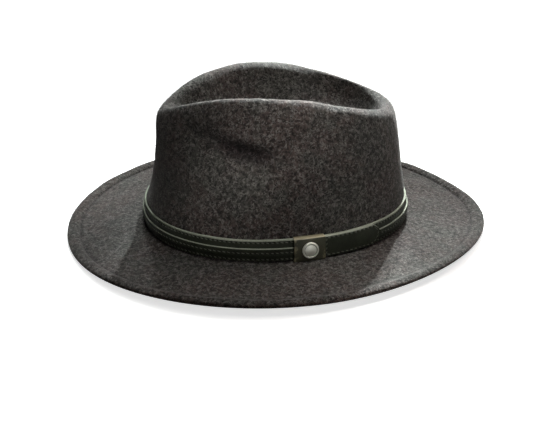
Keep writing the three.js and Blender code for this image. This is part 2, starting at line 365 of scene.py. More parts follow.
def leatherMaterial(name, finish):
    material, tree, place = newMaterial(name)
    grain = useGroup(tree, leatherGroup, {
        "Place": place, "Pebble Scale": finish["pebbles"],
        "Deep": finish["deep"], "Raised": finish["raised"]})
    wornAndSheen = useGroup(tree, wearAndSheenGroup, {
        "Place": place, "Wear And Sheen": painted(tree, "wearAndSheen"), "Break Up": finish["breakUp"],
        "Colour": grain["Colour"], "Worn And Sheen": finish["wornAndSheen"]})
    # Painted shadow, near black, in the stitch holes
    colour = blendColour(tree, painted(tree, "pitShadow"), wornAndSheen["Colour"], pitShadowColour)
    closeMaterial(tree, {
        "Base Color": colour, "Roughness": grain["Roughness"],
        "Specular IOR Level": finish["specular"], "Coat Weight": finish["coat"],
        "Coat Roughness": 0.35,
    }, grain["Height"], finish["depth"], strength=0.7)
    return material


# Near-black colour of the painted shadow in the stitch holes
pitShadowColour = shade(0.001, 0.001, 0.001)
strapFinish = {"pebbles": 1700.0, "deep": shade(0.0086, 0.0108, 0.0062),
               "raised": shade(0.0265, 0.0312, 0.0172), "wornAndSheen": shade(0.085, 0.090, 0.055),
               "breakUp": 700.0, "specular": 0.32, "coat": 0.0, "depth": 0.08}
# The keeper's worn colour also serves as its painted sheen
keeperFinish = {"pebbles": 2600.0, "deep": shade(0.026, 0.026, 0.013),
                "raised": shade(0.052, 0.050, 0.026), "wornAndSheen": shade(0.34, 0.30, 0.19),
                "breakUp": 320.0, "specular": 0.5, "coat": 0.15, "depth": 0.03}
edgeFinish = {"deep": shade(0.116, 0.136, 0.098), "raised": shade(0.230, 0.252, 0.196)}
# Paler raw-edge colours towards the back; with the darker ones at the front they make a painted
# shade on the raw edges
litEdgeFinish = {"deep": shade(0.205, 0.220, 0.170), "raised": shade(0.362, 0.380, 0.310)}
threadFinish = {"deep": shade(0.060, 0.066, 0.048), "raised": shade(0.150, 0.158, 0.126)}


def roughMaterial(name, finish, scale, roughness, litFinish=None):
    material, tree, place = newMaterial(name)
    fibres = noise(tree, place, scale, 3, 0.65)
    share = remap(tree, fibres, *noiseSpan)
    colour = blendColour(tree, share, finish["deep"], finish["raised"])
    if litFinish:
        # Painted shade on the raw edges: darker towards the front, paler from the side backwards
        colour = blendColour(tree, painted(tree, "edgeLight"), colour,
                             blendColour(tree, share, litFinish["deep"], litFinish["raised"]))
    closeMaterial(tree, {"Base Color": colour, "Roughness": roughness,
                         "Specular IOR Level": 0.25}, fibres, depth=0.08, strength=0.6)
    return material


studFinish = {"bright": shade(0.92, 0.92, 0.82), "tarnish": shade(0.30, 0.30, 0.24),
              "breakUp": 1500.0, "brushing": (400, 6000, 6000), "metallic": 0.8}


def studMaterial(finish):
    material, tree, place = newMaterial("antiqueSilver")
    wornAndSheen = useGroup(tree, wearAndSheenGroup, {
        "Place": place, "Wear And Sheen": painted(tree, "wearAndSheen"), "Break Up": finish["breakUp"],
        "Colour": finish["tarnish"], "Worn And Sheen": finish["bright"]})
    brushed = noise(tree, addNode(tree, "Mapping", {
        "Vector": place, "Scale": finish["brushing"]}).outputs[0], 1.0, rough=0.6)
    closeMaterial(tree, {
        "Base Color": wornAndSheen["Colour"], "Metallic": finish["metallic"],
        "Roughness": remap(tree, brushed, *noiseSpan, 0.42, 0.6),
    }, brushed, depth=0.02, strength=0.5)
    return material


feltCloth = feltMaterial()
strapLeather = leatherMaterial("strapLeather", strapFinish)
keeperLeather = leatherMaterial("keeperLeather", keeperFinish)
rawEdge = roughMaterial("rawLeatherEdge", edgeFinish, 1500, 0.8, litEdgeFinish)
thread = roughMaterial("waxedThread", threadFinish, 3500, 0.6)
silver = studMaterial(studFinish)
print("materials built")


# Many short tubes, closed at both ends, as one piece

tubeTaper = 0.35              # how far round its swell a tube begins and ends


def threadTubes(paths, radius, sides):
    heading = unit(np.gradient(paths, axis=1))
    side = unit(np.cross(heading, np.array((0.0, 0.0, 1.0))))
    upright = np.cross(side, heading)
    angles = np.arange(sides) * fullTurn / sides
    ring = (np.cos(angles)[:, None] * side[:, :, None]
            + np.sin(angles)[:, None] * upright[:, :, None])
    steps = paths.shape[1]
    swell = radius * np.sin(np.linspace(tubeTaper, math.pi - tubeTaper, steps)) ** 0.5
    return paths[:, :, None] + ring * swell[None, :, None, None]


def sewTubes(name, tubes, material):
    count, steps, sides = tubes.shape[:3]
    faces = []
    one = gridFaces(steps, sides)
    for first in range(0, count * steps * sides, steps * sides):
        faces += (one + first).tolist() + endFaces(steps, sides, first)
    makePiece(name, tubes, faces, [material])


# Felt body: rings in plan and height, from the crease along the top to the brim's edge

felt = {
    "thickness": 2.2, "stations": 320, "creaseCentre": (0.0, 5.0, 80.6),
    "pinchFade": 2.5, "quarterFade": 1.5, "dentFade": 25.0,
    "innerSkip": 2,           # the inner face takes every second row
    "grooveDepth": 0.8, "grooveWidth": 0.9,
    "weltLift": 0.35, "weltWidth": 1.6, "weltPlace": 2.6,
    "reliefFromTo": (52.0, 120.0),       # towards the wearer's left the groove and welt fade
    "reliefLeft": 0.12,
    "dentShadeSpread": 0.45,  # the painted shade keeps to the sharp upper part of each dent
    "dentShadeFromTo": (0.6, 7.5), "dentHeightFromTo": (50.0, 60.0),
    "underBandShade": 1.5, "bandEndShade": 0.7,
    "rimFade": 0.5, "grooveShade": 0.9,  # painted shade in the groove along the brim's edge
    "grooveRows": ((-1, 0.5), (0, 1.0), (1, 0.5)),
}
ringColumns = ("front", "back", "side", "round", "roundBack", "pinch",
               "zFront", "zSide", "zBack", "lean", "sink", "sweep", "spacing")
ringTable = {
    "creaseFloor": (36, 58, 16, 2, 2, 0.36, 82.6, 81.2, 80.6, 0, 0, 2, 2.2),
    "creaseFoot": (56, 75, 30.5, 2, 2.4, 0.46, 86, 87, 81, 1, 6, 2, 2),
    "creaseWall": (69, 79, 44, 2.1, 2.6, 0.57, 91.5, 101.5, 87, 4, 17, 2, 1.5),
    "ridgeIn": (77, 82, 51.6, 2.15, 2.45, 0.62, 98.3, 112, 93.2, 8, 9, 1.7, 1),
    "ridgeTop": (83, 86, 57.8, 2.2, 2.25, 0.61, 99.8, 114.6, 95.4, 9.5, 0, 1.7, 1),
    "ridgeOut": (87.2, 90.2, 63.6, 2.2, 2.22, 0.55, 96, 110.4, 91.4, 8.5, -4, 1.7, 1.4),
    "shoulder": (89.4, 93, 68.8, 2.2, 2.2, 0.43, 88, 99.2, 83.4, 6, 0, 2, 2),
    "wallHigh": (90.4, 95.6, 74.8, 2.15, 2.17, 0.27, 73, 80, 69.6, 2, 0, 2, 2.2),
    "wallMid": (92.2, 98, 79.5, 2.15, 2.15, 0.11, 53, 57, 51, 0, 0, 2, 2.2),
    "wallLow": (96, 100.7, 83, 2.15, 2.15, 0.02, 34, 35, 33, 0, 0, 2, 2.2),
    "bandTop": (99.4, 101.8, 84.2, 2.12, 2.12, 0, 25, 25, 25, 0, 0, 2, 4),
    "bandFoot": (100.2, 102.8, 85.3, 2.12, 2.12, 0, 8.8, 8.8, 8.8, 0, 0, 2, 0.8),
    "brimBreak": (101.6, 104.2, 86.7, 2.12, 2.12, 0, 7.8, 7.9, 7.8, 0, 0, 2, 1.2),
    "brimRoot": (105, 107.6, 90, 2.12, 2.1, 0, 7.4, 7.8, 7.3, 0, 0, 2, 2.2),
    "brimInner": (118, 121.8, 102.5, 2.1, 2.02, 0, 6.6, 7.8, 6.3, -1, 0, 3, 2.2),
    "brimMiddle": (135, 141.3, 121, 2.08, 1.94, 0, 4.7, 7.9, 4.4, -1.2, 0, 4, 1.6),
    "weltGroove": (151.1, 158.4, 137.2, 2.06, 1.89, 0, 2.5, 7.9, 2.3, -1.5, 0, 4, 0.6),
    "weltTop": (157.1, 164.5, 143.2, 2.05, 1.88, 0, 4.2, 10.2, 4, -1.5, 0, 4, 0.8),
    "edge": (161.3, 169, 147.4, 2.05, 1.87, 0, 2.1, 8.2, 1.9, -1.5, 0, 4, 0.8),
    "edgeUnder": (159.6, 167.3, 145.7, 2.05, 1.87, 0, -0.2, 5.9, -0.3, -1.5, 0, 4, 1.5),
    "restInner": (152.6, 160.1, 138.7, 2.06, 1.88, 0, -0.3, 5.6, -0.3, -1.5, 0, 4, 1),
}
rings = {name: dict(zip(ringColumns, row)) for name, row in ringTable.items()}
straightRing = "bandTop"      # the wall is straight from here to the next ring
firstDentRing, lastDentRing = "ridgeTop", "bandFoot"

# Finger dents, each steeper over its middle than under it
dentColumns = ("y", "z", "long", "over", "under", "tilt", "depth")
dents = [dict(zip(dentColumns, row)) for row in (
    (-34, 80.5, 19, 6.0, 17, -9, 8.5),
    (-61, 91, 20, 5.5, 11, -11, 3.8),
    (-7, 87, 15, 7.5, 13, 8, 2.6),
    (15, 92, 16, 8.0, 12, 4, 1.4),
)]

waviness = (
    {"seed": 11, "waves": 14, "length": 46.0, "height": 0.28},
    {"seed": 12, "waves": 18, "length": 15.0, "height": 0.09},
    {"seed": 13, "waves": 24, "length": 6.5, "height": 0.05},
)

waveSpread = (0.7, 1.4)
crownShift = np.array((0.0, (rings["edge"]["front"] - rings["edge"]["back"]) / 2, 0.0))


def ringPoints(ring, turns):
    ahead = np.cos(turns)
    aside = np.sin(turns)
    reach = np.where(ahead > 0, ring["front"], ring["back"])
    power = 2 / np.where(ahead > 0, ring["round"], ring["roundBack"])
    squeeze = 1 - ring["pinch"] * ((1 + ahead) / 2) ** felt["pinchFade"]
    bow = (ring["zFront"] + ring["zBack"]) / 2 - ring["zSide"]
    pitch = (ring["zFront"] - ring["zBack"]) / 2
    backQuarter = np.where(ahead < 0, np.abs(ahead) ** felt["quarterFade"] * aside ** 2, 0)
    height = (ring["zSide"] + bow * np.abs(ahead) ** ring["sweep"]
              + pitch * signedPower(ahead, ring["sweep"])
              + ring["lean"] * ahead * aside ** 2 - ring["sink"] * backQuarter)
    return np.stack([ring["side"] * squeeze * signedPower(aside, power),
                     -reach * signedPower(ahead, power), height], -1)


# Rows of points on a centripetal curve through the knots of each station
def curveRow(four, share):
    before, start, end, after = four
    gapIn, gap, gapOut = [
        np.maximum(np.linalg.norm(b - a, axis=-1, keepdims=True), 1e-6) ** 0.5
        for a, b in ((before, start), (start, end), (end, after))]
    leave = gap * ((start - before) / gapIn - (end - before) / (gapIn + gap)
                   + (end - start) / gap)
    arrive = gap * ((end - start) / gap - (after - start) / (gap + gapOut)
                    + (after - end) / gapOut)
    return (start + leave * share + (3 * (end - start) - 2 * leave - arrive) * share ** 2
            + (2 * (start - end) + leave + arrive) * share ** 3)


def outerRows(turns):
    centre = np.tile(felt["creaseCentre"], (len(turns), 1)).astype(float)
    knots = [centre] + [ringPoints(ring, turns) for ring in rings.values()]
    knots = [2 * knots[0] - knots[1]] + knots + [2 * knots[-1] - knots[-2]]
    rows = []
    rowOf = {}
    names = ["centre", *rings]
    for k, name in enumerate(names[:-1]):
        four = knots[k:k + 4]
        spacing = rings[name]["spacing"] if k else rings[names[1]]["spacing"]
        length = np.linalg.norm(four[2] - four[1], axis=-1).mean()
        steps = max(1, round(length / spacing))
        rowOf[name] = len(rows)
        for step in range(steps):
            share = step / steps
            if name == straightRing:
                rows.append(four[1] + (four[2] - four[1]) * share)
            else:
                rows.append(curveRow(four, share))
    rowOf[names[-1]] = len(rows)
    rows.append(knots[-2])
    return np.array(rows), rowOf


def dentPress(points, spread=1.0):
    press = np.zeros(points.shape[:-1])
    for dent in dents:
        tilt = math.radians(dent["tilt"])
        dy = points[..., 1] - dent["y"]
        dz = points[..., 2] - dent["z"]
        along = (dy * math.cos(tilt) + dz * math.sin(tilt)) / dent["long"]
        up = dz * math.cos(tilt) - dy * math.sin(tilt)
        up = up / np.where(up > 0, dent["over"], dent["under"] * spread)
        press += dent["depth"] * np.exp(-(along ** 2 + up ** 2))
    return press


def pressDents(points):
    press = dentPress(points)
    fade = np.clip(np.abs(points[..., 0]) / felt["dentFade"], 0, 1)
    points[..., 0] -= np.sign(points[..., 0]) * press * fade


def gridNormals(rows):
    outward = np.gradient(rows, axis=0)
    onward = np.roll(rows, -1, axis=1) - np.roll(rows, 1, axis=1)
    return unit(np.cross(outward, onward))


def ripple(points, wave):
    draw = np.random.default_rng(wave["seed"])
    total = np.zeros(points.shape[:-1])
    for _ in range(wave["waves"]):
        heading = unit(draw.normal(size=3))
        length = wave["length"] * draw.uniform(*waveSpread)
        total += np.sin(points @ heading * fullTurn / length + draw.uniform(0, fullTurn))
    return wave["height"] * total / math.sqrt(wave["waves"])


def reliefShare(points):
    fade = smoothStep(points[:, 0], *felt["reliefFromTo"])
    return 1 - (1 - felt["reliefLeft"]) * fade


# The doubled edge: a narrow groove where the turned felt ends, and a fuller welt beside it
def weltRelief(rows, grooveRow):
    steps = np.linalg.norm(np.diff(rows, axis=0), axis=-1)
    travel = np.vstack([np.zeros(rows.shape[1]), np.cumsum(steps, axis=0)])
    past = travel - travel[grooveRow]
    groove = felt["grooveDepth"] * bell(past, felt["grooveWidth"])
    welt = felt["weltLift"] * bell(past - felt["weltPlace"], felt["weltWidth"])
    return (welt - groove) * reliefShare(rows[grooveRow])


def makeFelt():
    turns = np.arange(felt["stations"]) * fullTurn / felt["stations"]
    rows, rowOf = outerRows(turns)
    pressDents(rows[rowOf[firstDentRing]:rowOf[lastDentRing]])
    pole, outer = rows[0, 0], rows[1:]
    rowOf = {name: row - 1 for name, row in rowOf.items()}
    normals = gridNormals(outer)
    smoothInner = outer[:rowOf["brimMiddle"] + 1:felt["innerSkip"]]
    innerNormals = normals[:rowOf["brimMiddle"] + 1:felt["innerSkip"]]
    inner = smoothInner - innerNormals * felt["thickness"]

    # No waves on the straight wall under the band or at the resting edge
    rowPlace = np.arange(len(outer))[:, None]
    underBand = (rowPlace >= rowOf["bandTop"] - 2) & (rowPlace <= rowOf["brimBreak"])
    resting = rowPlace >= rowOf["edge"]
    free = np.where(underBand | resting, 0.0, 1.0)
    relief = sum(ripple(outer, wave) for wave in waviness) * free
    relief += weltRelief(outer, rowOf["weltGroove"]) * (rowPlace < rowOf["edge"])
    outer = outer + normals * relief[..., None]
    inner = inner + innerNormals * ripple(inner, waviness[2])[..., None]

    allRows = np.vstack([outer, inner[::-1]])
    allRows[..., 2] = np.maximum(allRows[..., 2], 0)
    innerPole = pole - np.array((0, 0, felt["thickness"]))
    points = np.vstack([allRows.reshape(-1, 3), pole, innerPole])
    size = allRows.shape[:2]
    faces = gridFaces(*size).tolist() + fanFaces(*size)
    piece = makePiece("felt", points, faces, [feltCloth], "felt_body")
    # Painted shade on the brim's cut edge and underside
    rimShade = np.zeros(size)
    rimShade[rowOf["edge"] - 1:rowOf["restInner"]] = 1.0
    rimShade[rowOf["edge"] - 2] = felt["rimFade"]
    paint(piece, "rimShade", rimShade, (0, 0))
    # Painted shade in the dents, a painted contact shadow under the band and painted shade in the
    # brim's groove
    paintedShade = smoothStep(dentPress(allRows, felt["dentShadeSpread"]), *felt["dentShadeFromTo"])
    paintedShade *= smoothStep(allRows[..., 2], *felt["dentHeightFromTo"])
    paintedShade[rowOf["bandFoot"] - 1:rowOf["brimBreak"] + 1] = felt["underBandShade"]
    paintedShade[rowOf["brimBreak"] + 1] = felt["bandEndShade"]
    grooveRow = rowOf["weltGroove"]
    for aside, share in felt["grooveRows"]:
        paintedShade[grooveRow + aside] = felt["grooveShade"] * share * reliefShare(outer[grooveRow])
    paint(piece, "paintedShade", paintedShade, (0, 0))
    return piece, outer, rowOf


feltPiece, feltRows, feltRowOf = makeFelt()
print("felt shaped:", len(feltPiece.data.polygons), "faces")


# Loose fibres that stand off the felt, more of them along the ridge and the brim's edge
fibres = {"seed": 5, "count": 7000, "length": (0.7, 2.0), "radius": 0.032, "lift": (0.15, 0.9),
          "bend": 0.5, "root": 0.12, "sides": 3, "ridgeShare": 0.25, "edgeShare": 0.25,
          "halfway": 0.5, "halfLift": 0.6, "tipLift": 0.8, "bandMargin": 3}


def makeFibres(rows, rowOf):
    draw = np.random.default_rng(fibres["seed"])
    normals = gridNormals(rows)
    count = fibres["count"]
    bandSkip = rowOf["brimRoot"] - rowOf["bandTop"] + fibres["bandMargin"]
    low, high = rowOf["ridgeIn"], rowOf["edge"] - 1 - bandSkip
    place = draw.uniform(low, high, count)
    place = np.where(place > rowOf["bandTop"] - fibres["bandMargin"], place + bandSkip, place)
    some = draw.uniform(size=count)
    ridge = draw.uniform(rowOf["ridgeIn"], rowOf["shoulder"], count)
    edge = draw.uniform(rowOf["weltTop"], rowOf["edge"], count)
    place = np.where(some < fibres["ridgeShare"], ridge, place)
    place = np.where(some > 1 - fibres["edgeShare"], edge, place)
    row = place.astype(int)
    station = draw.integers(0, rows.shape[1], count)
    inRow, inStation = (place - row)[:, None], draw.uniform(size=(count, 1))
    beside = (station + 1) % rows.shape[1]
    near = rows[row, station] + (rows[row, beside] - rows[row, station]) * inStation
    far = rows[row + 1, station] + (rows[row + 1, beside] - rows[row + 1, station]) * inStation
    root = near + (far - near) * inRow
    away = normals[row, station]
    lean = unit(np.cross(away, draw.normal(size=(count, 3))))
    curl = unit(np.cross(away, lean)) * draw.normal(size=(count, 1)) * fibres["bend"]
    length = draw.uniform(*fibres["length"], (count, 1))
    lift = draw.uniform(*fibres["lift"], (count, 1))
    paths = np.stack([root - away * fibres["root"],
                      root + (lean * fibres["halfway"] + away * lift * fibres["halfLift"]) * length,
                      root + (lean + curl + away * lift * fibres["tipLift"]) * length], 1)
    tubes = threadTubes(paths, fibres["radius"], fibres["sides"])
    sewTubes("feltFibres", tubes, feltCloth)


# The band's pieces: heights above the floor, offsets outwards from the felt, places along Y

strap = {
    "slot": "strap_leather", "node": "hat_band", "inner": 0.3, "outer": 1.7, "bottom": 9.1,
    "top": 25.0, "corner": 0.3, "faceSteps": 34, "bareSteps": 2, "wearAndSheen": 0.56,
    "wearWidth": 0.75, "leastEdgeLight": 0.0, "wave": 0.10, "waveLength": 61.0, "waveFrom": 17.0,
}
strip = {
    "slot": "strip_leather", "node": "band_strip", "inner": 2.0, "outer": 3.0, "bottom": 13.8,
    "top": 19.0, "corner": 0.28, "faceSteps": 16, "bareSteps": 1, "wearAndSheen": 0.42,
    "wearWidth": 0.5, "leastEdgeLight": 0.5, "tipGap": 0.6,
}
tab = {
    "slot": "strap_leather", "node": "band_tab", "inner": 2.0, "outer": 3.4, "bottom": 9.5,
    "top": 25.0, "corner": 0.35, "faceSteps": 34, "bareSteps": 1, "wearAndSheen": 0.42,
    "wearWidth": 0.6, "leastEdgeLight": 0.0, "tipWearWidth": 0.8, "start": 1.0, "shoulder": 54.6,
    "tip": 60.0, "tipHalf": 2.4, "tipPower": 1.3, "stationGap": 0.45,
}
keeper = {
    "front": -7.0, "back": 15.5, "inner": 3.7, "outer": 4.7, "wrap": 0.6, "heel": 1.1,
    "bend": 1.2, "innerBend": 0.35, "corner": 0.3, "stations": 40, "faceSteps": 24,
    "arcSteps": 6, "holeRadius": 1.9, "holeReach": 3.0, "holeSides": 32,
    "topTan": 0.95, "topTanFromTo": (0.1, 0.7), "frontSheen": 0.44, "frontSheenWidth": 4.0,
    "backSheen": 0.46, "backSheenWidth": 4.5, "backSheenHeight": 9.0,
    "footRub": 0.3, "footRubDown": 0.8, "footRubWidth": 1.0,
}
band = {
    "gap": 0.3, "stationGap": 0.5, "faceFrom": 0.7, "arcSteps": 3, "measures": 1441,
    "edgeLightFromTo": (-105.0, -45.0),       # painted shade: the raw edges are darker towards the front, paler from the side backwards
}
strapMiddle = (strap["bottom"] + strap["top"]) / 2
tabMiddle = (tab["bottom"] + tab["top"]) / 2
tabFull = (tab["top"] - tab["bottom"]) / 2
turnNudge = 0.01


# The wall that the band lies on, and distances along it

def onWall(turns, heights):
    foot, top = rings["bandFoot"], rings["bandTop"]
    share = (heights - foot["zSide"]) / (top["zSide"] - foot["zSide"])
    low = ringPoints(foot, turns)
    return low + (ringPoints(top, turns) - low) * np.asarray(share)[..., None]


def wallPoints(turns, heights, offsets):
    turns, heights, offsets = np.broadcast_arrays(turns, heights, offsets)
    along = onWall(turns + turnNudge, heights) - onWall(turns - turnNudge, heights)
    away = unit(np.stack([along[..., 1], -along[..., 0], np.zeros_like(turns)], -1))
    points = onWall(turns, heights) + away * offsets[..., None]
    points[..., 2] = heights
    return points


measureTurns = np.linspace(0, fullTurn, band["measures"])
measureSteps = np.diff(wallPoints(measureTurns, strapMiddle, strap["outer"]), axis=0)
measureLengths = np.concatenate([[0], np.cumsum(np.linalg.norm(measureSteps, axis=-1))])
bandLength = measureLengths[-1]


def turnAt(distance):
    rounds = np.floor(distance / bandLength)
    turns = np.interp(distance - rounds * bandLength, measureLengths, measureTurns)
    return turns + rounds * fullTurn


def leftTurn(y):                 # turn round the crown of a place on the wearer's left
    foot = rings["bandFoot"]
    reach = foot["front"] if y < 0 else foot["back"]
    return math.acos(-signedPower(y / reach, foot["round"] / 2))


def leftDistance(y):
    return float(np.interp(leftTurn(y), measureTurns, measureLengths))


# A section: up the face, over the top edge, down the back and under the bottom edge
def bandSection(piece, low, high):
    inner, outer, corner = piece["inner"], piece["outer"], piece["corner"]
    spans = []                   # offset, height, and whether the raw edge starts here

    def arc(offset, height, start, raw):
        for spot in quarterArc(offset, height, corner, start, band["arcSteps"]):
            spans.append((*spot, raw))

    face = np.linspace(low + corner, high - corner, piece["faceSteps"], endpoint=False)
    for step, height in enumerate(face):
        spans.append((outer, height, step >= piece["faceSteps"] - piece["bareSteps"]))
    arc(outer - corner, high - corner, 0, True)
    spans.append((outer - corner, high, True))
    arc(inner + corner, high - corner, 90, True)
    spans.append((inner, high - corner, False))
    arc(inner + corner, low + corner, 180, False)
    spans.append((inner + corner, low, False))
    arc(outer - corner, low + corner, 270, False)
    offsets, heights, raw = np.array(spans).T
    return {"offsets": offsets, "heights": heights, "raw": raw.astype(int).tolist(),
            "onFace": offsets > inner + band["faceFrom"]}


# Stitch rows press the leather into a shallow channel, with a hole at each end of a stitch
stitching = {
    "pitch": 3.4, "length": 2.35, "slant": 0.8, "threadRadius": 0.31, "lift": 0.20, "sink": 0.40,
    "holeDepth": 0.60, "holeWidth": 0.46, "channelDepth": 0.14, "channelWidth": 0.60,
    "puff": 0.10, "puffWidth": 0.9, "sides": 6, "spans": 6,
    "strapUp": 1.2, "strapDown": 2.2, "stripDown": 0.8, "pastTab": 1.5,     # where rows lie
    "tabIn": 1.35, "tabFirst": 1.3, "tabPastShoulder": 0.3, "tabTipIn": 0.5,
}
strapRows = (strap["bottom"] + stitching["strapUp"], strap["top"] - stitching["strapDown"])
stripRow = (strip["bottom"] + strip["top"]) / 2 - stitching["stripDown"]
tabStitchStart = keeper["back"] + stitching["tabFirst"]
wholeStitches = round(bandLength / stitching["pitch"])
strapStretch = wholeStitches * stitching["pitch"] / bandLength       # fits them to the round


def stitchPits(distances, aside):
    hole = bell(nearestRepeat(distances, stitching["pitch"]), stitching["holeWidth"])
    return hole * bell(aside, stitching["holeWidth"])


# How deep the leather is pressed beside a row, and its holes
def stitchMarks(distances, aside):
    pits = stitchPits(distances, aside)
    channel = bell(aside, stitching["channelWidth"])
    swell = bell(np.abs(aside) - stitching["puffWidth"], stitching["channelWidth"])
    wave = 0.5 - 0.5 * np.cos(nearestRepeat(distances, stitching["pitch"])
                              * fullTurn / stitching["pitch"])
    return np.array((stitching["holeDepth"] * pits + stitching["channelDepth"] * channel
                     - stitching["puff"] * swell * wave, pits))


# A section swept along the wall as one closed mesh, with its raw edge in its own material
def sweepBand(name, piece, section, turns, heights, press, pits, wearAndSheen, closed=False, lift=0.0):
    loops = wallPoints(turns, heights, section["offsets"] - press * section["onFace"])
    loops[..., 2] += lift
    rows, count = loops.shape[:2]
    faces = gridFaces(rows, count, closed).tolist()
    kinds = section["raw"] * (rows if closed else rows - 1)
    if not closed:
        faces += endFaces(rows, count)
        kinds += [0, 0]
    made = makePiece(name, loops, faces, [strapLeather, rawEdge],
                     piece["node"], kinds)
    # Painted shade on the raw edges, darker towards the front
    edgeLight = smoothStep(loops[..., 1], *band["edgeLightFromTo"])
    paint(made, "edgeLight", np.maximum(edgeLight, piece["leastEdgeLight"]))
    # Painted shadow, near black, in the stitch holes
    paint(made, "pitShadow", pits * section["onFace"])
    paint(made, "wearAndSheen", piece["wearAndSheen"] * wearAndSheen * section["onFace"])


def edgeWear(piece, heights):
    nearEdge = np.minimum(heights - piece["bottom"], piece["top"] - heights)
    return bell(nearEdge, piece["wearWidth"])


def endInset(distances, start, end, corner):
    reach = np.clip(np.minimum(distances - start, end - distances), 0, corner)
    return corner - np.sqrt(np.maximum(corner ** 2 - (corner - reach) ** 2, 0))


def makeStrap():
    section = bandSection(strap, strap["bottom"], strap["top"])
    count = round(bandLength / band["stationGap"])
    distances, heights = np.meshgrid(np.arange(count) * bandLength / count,
                                     section["heights"], indexing="ij")
    press, pits = sum(stitchMarks(distances * strapStretch, heights - row)
                      for row in strapRows)
    wave = strap["wave"] * np.sin(distances * fullTurn / strap["waveLength"])
    sweepBand("strap", strap, section, turnAt(distances), heights, press, pits,
              edgeWear(strap, heights), True, wave * (heights > strap["waveFrom"]))


def makeStrip():
    section = bandSection(strip, strip["bottom"], strip["top"])
    start = leftDistance(tab["tip"] + strip["tipGap"])
    end = bandLength + leftDistance((keeper["front"] + tab["start"]) / 2)
    stations = np.linspace(start, end, int((end - start) / band["stationGap"]))
    distances, heights = np.meshgrid(stations, section["heights"], indexing="ij")
    press, pits = stitchMarks(distances, heights - stripRow)
    press += endInset(distances, start, end, strip["corner"])
    sweepBand("bandStrip", strip, section, turnAt(distances), heights, press, pits,
              edgeWear(strip, heights))


# Half the tab's height: full to the shoulder, then drawn in to a blunt point
def tabHalf(y):
    share = np.clip((y - tab["shoulder"]) / (tab["tip"] - tab["shoulder"]), 0, 1)
    return tabFull - (tabFull - tab["tipHalf"]) * share ** tab["tipPower"]


def makeTab():
    section = bandSection(tab, -tabFull, tabFull)
    count = int((tab["tip"] - tab["start"]) / tab["stationGap"])
    stations = np.linspace(tab["start"], tab["tip"], count)
    turns = np.array([leftTurn(y) for y in stations])[:, None]
    half = tabHalf(stations)[:, None]
    heights = section["heights"] * half / tabFull
    places = np.broadcast_to(stations[:, None], heights.shape)
    inRows = sum(stitchMarks(places, heights * row - (half - stitching["tabIn"]))
                 for row in (-1, 1)) * (places > keeper["back"])
    press = inRows[0] + endInset(places, tab["start"], tab["tip"], tab["corner"])
    pits = inRows[1] + stitchPits(heights, places - tabStitchStart)
    wearAndSheen = np.maximum(bell(half - np.abs(heights), tab["wearWidth"]),
                      bell(tab["tip"] - places, tab["tipWearWidth"]))
    sweepBand("bandTab", tab, section, turns, tabMiddle + heights, press,
              np.clip(pits, 0, 1), wearAndSheen)


makeStrap()
makeStrip()
makeTab()
print("strap, strip and tab shaped")


# Keeper: one smooth piece of leather bent over the band's upper and lower edges

def keeperSection(inset):
    bottom = strap["bottom"] - band["gap"]
    top = strap["top"] + band["gap"]
    outer = keeper["outer"] - inset
    low = bottom - keeper["wrap"] + inset / 2
    high = top + keeper["wrap"] - inset / 2
    inner = keeper["inner"]
    bend, innerBend, steps = keeper["bend"], keeper["innerBend"], keeper["arcSteps"]
    corners = [(keeper["heel"], low)]
    corners += quarterArc(outer - bend, low + bend, bend, -90, steps, 1)
    for height in np.linspace(low + bend, high - bend, keeper["faceSteps"])[1:-1]:
        corners.append((outer, height))
    corners += quarterArc(outer - bend, high - bend, bend, 0, steps, 1)
    corners += [(strap["inner"], high), (strap["inner"], top), (inner - innerBend, top),
                (inner, top - innerBend), (inner, bottom + innerBend),
                (inner - innerBend, bottom), (keeper["heel"], bottom)]
    return np.array(corners)


def makeKeeper():
    share = (1 - np.cos(np.linspace(0, math.pi, keeper["stations"]))) / 2
    places = keeper["front"] + (keeper["back"] - keeper["front"]) * share
    insets = endInset(places, keeper["front"], keeper["back"], keeper["corner"])
    loops = []
    for y, inset in zip(places, insets):
        section = keeperSection(inset)
        loops.append(wallPoints(leftTurn(y), section[:, 1], section[:, 0]))
    loops = np.array(loops)
    size = loops.shape[:2]
    faces = gridFaces(*size).tolist() + endFaces(*size)
    piece = makePiece("bandKeeper", loops, faces, [keeperLeather],
                      "band_keeper")
    overTop = loops[..., 2] - strap["top"]
    overBottom = loops[..., 2] - strap["bottom"]
    placeGrid = np.broadcast_to(places[:, None], size)
    # Painted sheen at the keeper's front end and low at its back end, with a tan top fold and a
    # rubbed foot
    paint(piece, "wearAndSheen", np.maximum.reduce([
        keeper["topTan"] * smoothStep(overTop, *keeper["topTanFromTo"]),
        keeper["frontSheen"] * bell(placeGrid - keeper["front"], keeper["frontSheenWidth"]),
        keeper["backSheen"] * bell(placeGrid - keeper["back"], keeper["backSheenWidth"])
        * bell(overBottom, keeper["backSheenHeight"]),
        keeper["footRub"] * bell(overBottom + keeper["footRubDown"], keeper["footRubWidth"])]))
    cutStudHole(piece)


# Stud: post, flat back, rounded rim, shallow dish and a low smooth dome

stud = {
    "place": 4.3, "radius": 6.0, "postRadius": 1.6, "postBevel": 0.15, "rimRound": 0.65,
    "rimSteps": 6, "rimHeight": 1.7, "rimFlat": 4.95, "domeHeight": 2.2, "domeSteps": 16,
    "domePower": 1.2, "dishRadius": 4.5, "dishHeight": 1.25, "sides": 96,
    "backBevel": ((0.4, 0.0), (0.12, 0.1), (0.0, 0.4)),      # in from the radius, and up
    "rimSlope": (0.22, 0.1), "dishSlope": (0.25, 0.05), "domeFromTo": (0.5, 0.25),
    "recessWidth": 0.35, "recessFrom": 1.0, "belowTo": 0.5,
    "bright": 0.95, "darker": 0.75, "belowShare": 0.5, "postEnd": 0.3,
}


